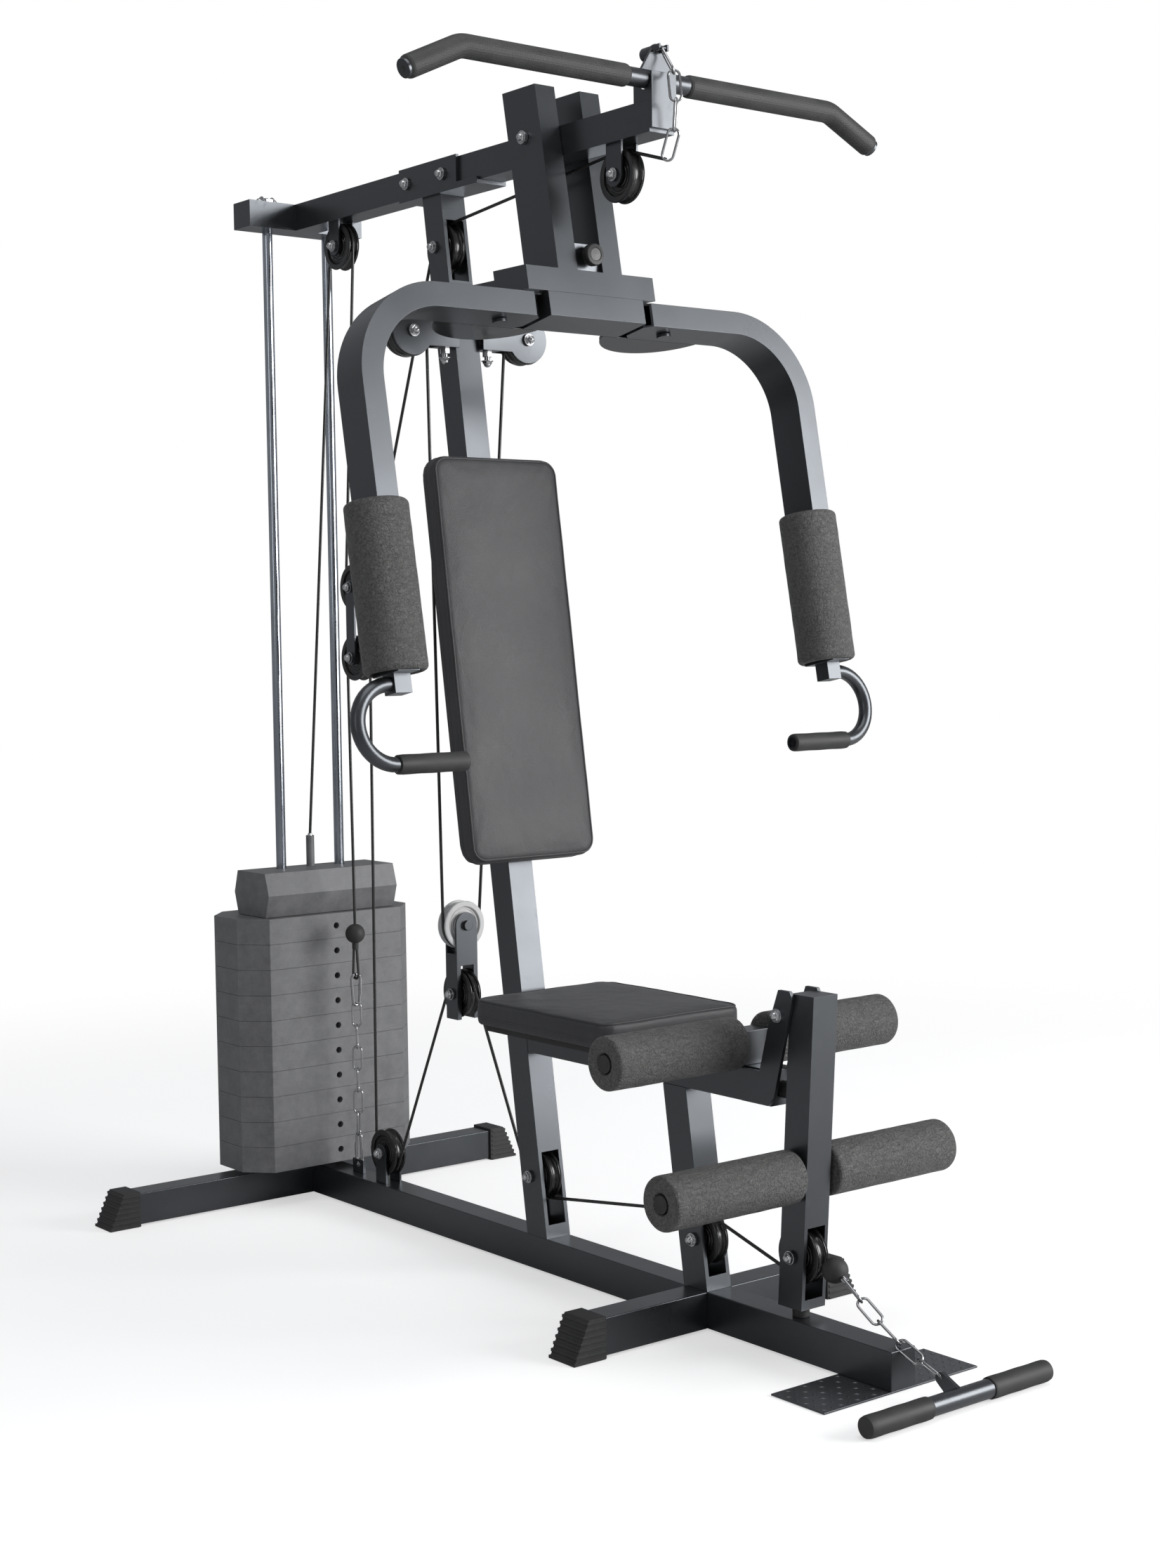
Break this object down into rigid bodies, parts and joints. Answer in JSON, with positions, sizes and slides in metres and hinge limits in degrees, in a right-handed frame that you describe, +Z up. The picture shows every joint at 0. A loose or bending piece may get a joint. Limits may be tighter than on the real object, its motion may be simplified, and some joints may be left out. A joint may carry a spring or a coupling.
{
  "type": "multi station home gym",
  "caption": "Free-standing home gym with a guided weight stack, cable pulleys, high pulldown bar, press and butterfly arms, padded seat, leg developer and low row bar.",
  "frame": {"origin": "middle of the machine's footprint, on the floor", "axes": "+Z up, -Y towards the user's feet (leg developer and foot plate), +Y towards the weight stack, +X to the seated user's left (the user faces -Y)"},
  "size_m": [1.071, 1.793, 1.996],
  "materials": {
    "frame_paint": "satin black powder coat",
    "checker_plate": "black painted checker plate",
    "rubber_black": "matt moulded",
    "upholstery": "black grained upholstery",
    "pad_board": "black backing board",
    "chrome_steel": "bright plated",
    "bar_paint": "black",
    "zinc": "bright zinc",
    "pulley_nylon": "glossy moulded",
    "stack_grey": "grey vinyl shell",
    "stack_head_paint": "grey satin paint",
    "foam": "closed cell foam, pebbled",
    "cam_gloss": "gloss black",
    "knob_plastic": "knurled black",
    "cable_jacket": "coated wire rope"
  },
  "bodies": {
    "frame": {"base_beam": "frame_paint", "cross_beams": "frame_paint", "foot_caps": "rubber_black", "foot_plate": "checker_plate", "main_upright": "frame_paint", "seat_post": "frame_paint", "seat_boom": "frame_paint", "boom_ears": "frame_paint", "pad_boards": "pad_board", "seat_pad": "upholstery", "back_pad": "upholstery", "top_boom_rear": "frame_paint", "top_boom_front": "frame_paint", "boom_sleeve": "frame_paint", "guide_rods": "chrome_steel", "rubber_stops": "rubber_black", "bar_holder": "frame_paint", "boom_hangers": "frame_paint", "stop_tube": "frame_paint", "pulley_wings": "frame_paint", "base_brackets": "frame_paint", "upper_roller_bar": "bar_paint", "frame_bolts": "zinc", "anchor_chain": "chrome_steel", "cables": "cable_jacket"},
    "press": {"swing_frame": "frame_paint", "arm_bracket": "frame_paint"},
    "lock": {"lock_knob": "knob_plastic"},
    "arm_r": {"arm_right": "frame_paint", "foam_right": "foam", "cam_right": "cam_gloss", "handle_right": "rubber_black"},
    "arm_l": {"arm_left": "frame_paint", "foam_left": "foam", "cam_left": "cam_gloss", "handle_left": "rubber_black"},
    "leg": {"leg_tube": "frame_paint"},
    "upper_foam": {"upper_rollers": "foam"},
    "lower_foam": {"lower_rollers": "foam"},
    "head": {"stack_head": "stack_head_paint"},
    "plates": {"weight_plates": "stack_grey"},
    "block_rear": {"rear_block": "frame_paint"},
    "block_front": {"front_block": "frame_paint"},
    "lat": {"lat_bar": "chrome_steel", "lat_chain": "chrome_steel"},
    "row_line": {"row_chain": "chrome_steel"},
    "row_grip": {"row_bar": "chrome_steel"},
    "wheel_boom_front": {"wheel_boom_front": "pulley_nylon"},
    "wheel_window": {"wheel_window": "pulley_nylon"},
    "wheel_boom_rear": {"wheel_boom_rear": "pulley_nylon"},
    "wheel_base": {"wheel_base": "pulley_nylon"},
    "wheel_upright": {"wheel_upright": "pulley_nylon"},
    "wheel_seat_post": {"wheel_seat_post": "pulley_nylon"},
    "wheel_wing_left": {"wheel_wing_left": "pulley_nylon"},
    "wheel_wing_right": {"wheel_wing_right": "pulley_nylon"},
    "wheel_leg": {"wheel_leg": "pulley_nylon"},
    "wheel_rear_upper": {"wheel_rear_upper": "pulley_nylon"},
    "wheel_rear_lower": {"wheel_rear_lower": "pulley_nylon"},
    "wheel_front_upper": {"wheel_front_upper": "pulley_nylon"},
    "wheel_front_lower": {"wheel_front_lower": "pulley_nylon"}
  },
  "joints": [
    {"name": "press_swing", "type": "hinge", "parent": "frame", "child": "press", "pos_m": [0, -0.0085, 1.89], "axis": [-1, 0, 0], "range_deg": [0, 22], "deforming": ["cables"]},
    {"name": "lock_pull", "type": "slide", "parent": "press", "child": "lock", "axis": [0, 1, 0], "range_m": [0, 0.0085]},
    {"name": "arm_right_swing", "type": "hinge", "parent": "press", "child": "arm_r", "pos_m": [0.17, -0.06985, 1.60287], "axis": [0, -0.1822, -0.9833], "range_deg": [0, 80], "deforming": ["cables"]},
    {"name": "arm_left_swing", "type": "hinge", "parent": "press", "child": "arm_l", "pos_m": [-0.17, -0.06985, 1.60287], "axis": [0, 0.1822, 0.9833], "range_deg": [0, 80], "deforming": ["cables"]},
    {"name": "leg_swing", "type": "hinge", "parent": "frame", "child": "leg", "pos_m": [0, -0.5535, 0.518], "axis": [-1, 0, 0], "range_deg": [0, 80], "deforming": ["cables"]},
    {"name": "upper_foam_spin", "type": "hinge", "parent": "frame", "child": "upper_foam", "pos_m": [0, -0.4565, 0.464], "axis": [1, 0, 0], "continuous": true},
    {"name": "lower_foam_spin", "type": "hinge", "parent": "leg", "child": "lower_foam", "pos_m": [0, -0.5795, 0.281], "axis": [1, 0, 0], "continuous": true},
    {"name": "head_lift", "type": "slide", "parent": "frame", "child": "head", "axis": [0, 0, 1], "range_m": [0, 0.42], "deforming": ["cables"]},
    {"name": "plates_lift", "type": "slide", "parent": "frame", "child": "plates", "axis": [0, 0, 1], "range_m": [0, 0.42]},
    {"name": "rear_block_drop", "type": "slide", "parent": "frame", "child": "block_rear", "axis": [0, 0, -1], "range_m": [0, 0.21], "deforming": ["cables"]},
    {"name": "front_block_rise", "type": "slide", "parent": "frame", "child": "block_front", "axis": [0, 0, 1], "range_m": [0, 0.147], "deforming": ["cables"]},
    {"name": "lat_lift", "type": "slide", "parent": "frame", "child": "lat", "axis": [0, 0, 1], "range_m": [0, 0.04], "deforming": ["cables"]},
    {"name": "row_pull", "type": "slide", "parent": "leg", "child": "row_line", "axis": [0, -0.94, 0.3412], "range_m": [0, 0.45], "deforming": ["cables"]},
    {"name": "row_tilt", "type": "hinge", "parent": "row_line", "child": "row_grip", "pos_m": [0, -0.8485, 0.037], "axis": [-1, 0, 0], "range_deg": [0, 60]},
    {"name": "wheel_boom_front_spin", "type": "hinge", "parent": "frame", "child": "wheel_boom_front", "pos_m": [0, -0.1765, 1.809], "axis": [1, 0, 0], "continuous": true},
    {"name": "wheel_window_spin", "type": "hinge", "parent": "frame", "child": "wheel_window", "pos_m": [0, 0.3105, 1.763], "axis": [1, 0, 0], "continuous": true},
    {"name": "wheel_boom_rear_spin", "type": "hinge", "parent": "frame", "child": "wheel_boom_rear", "pos_m": [0, 0.6485, 1.813], "axis": [1, 0, 0], "continuous": true},
    {"name": "wheel_base_spin", "type": "hinge", "parent": "frame", "child": "wheel_base", "pos_m": [0, 0.5505, 0.118], "axis": [1, 0, 0], "continuous": true},
    {"name": "wheel_upright_spin", "type": "hinge", "parent": "frame", "child": "wheel_upright", "pos_m": [0, 0.0745, 0.161], "axis": [1, 0, 0], "continuous": true},
    {"name": "wheel_seat_post_spin", "type": "hinge", "parent": "frame", "child": "wheel_seat_post", "pos_m": [0, -0.3495, 0.138], "axis": [1, 0, 0], "continuous": true},
    {"name": "wheel_wing_left_spin", "type": "hinge", "parent": "frame", "child": "wheel_wing_left", "pos_m": [-0.122, 0.2555, 1.605], "axis": [0, 1, 0], "continuous": true},
    {"name": "wheel_wing_right_spin", "type": "hinge", "parent": "frame", "child": "wheel_wing_right", "pos_m": [0.122, 0.2555, 1.605], "axis": [0, 1, 0], "continuous": true},
    {"name": "wheel_leg_spin", "type": "hinge", "parent": "leg", "child": "wheel_leg", "pos_m": [0, -0.5715, 0.156], "axis": [1, 0, 0], "continuous": true},
    {"name": "wheel_rear_upper_spin", "type": "hinge", "parent": "block_rear", "child": "wheel_rear_upper", "pos_m": [0, 0.6185, 1.179], "axis": [1, 0, 0], "continuous": true},
    {"name": "wheel_rear_lower_spin", "type": "hinge", "parent": "block_rear", "child": "wheel_rear_lower", "pos_m": [0, 0.6185, 1.047], "axis": [1, 0, 0], "continuous": true},
    {"name": "wheel_front_upper_spin", "type": "hinge", "parent": "block_front", "child": "wheel_front_upper", "pos_m": [0, 0.3005, 0.572], "axis": [0, 1, 0], "continuous": true},
    {"name": "wheel_front_lower_spin", "type": "hinge", "parent": "block_front", "child": "wheel_front_lower", "pos_m": [0, 0.3005, 0.449], "axis": [1, 0, 0], "continuous": true}
  ],
  "couplings": [
    {"joint": "head_lift", "follows": "leg_swing", "m_per_rad": 0.3},
    {"joint": "plates_lift", "follows": "leg_swing", "m_per_rad": 0.3},
    {"joint": "rear_block_drop", "follows": "leg_swing", "m_per_rad": 0.15},
    {"joint": "wheel_base_spin", "follows": "leg_swing", "ratio": -7.7419},
    {"joint": "wheel_front_lower_spin", "follows": "leg_swing", "ratio": 7.7419},
    {"joint": "wheel_upright_spin", "follows": "leg_swing", "ratio": -7.7419},
    {"joint": "wheel_seat_post_spin", "follows": "leg_swing", "ratio": 7.7419},
    {"joint": "wheel_rear_lower_spin", "follows": "leg_swing", "ratio": 3.871},
    {"joint": "wheel_rear_upper_spin", "follows": "leg_swing", "ratio": -3.871},
    {"joint": "wheel_boom_rear_spin", "follows": "leg_swing", "ratio": 7.7419},
    {"joint": "arm_left_swing", "follows": "arm_right_swing", "ratio": 1},
    {"joint": "front_block_rise", "follows": "arm_right_swing", "m_per_rad": 0.105},
    {"joint": "wheel_wing_right_spin", "follows": "arm_right_swing", "ratio": -2.7097},
    {"joint": "wheel_wing_left_spin", "follows": "arm_right_swing", "ratio": 2.7097}
  ]
}
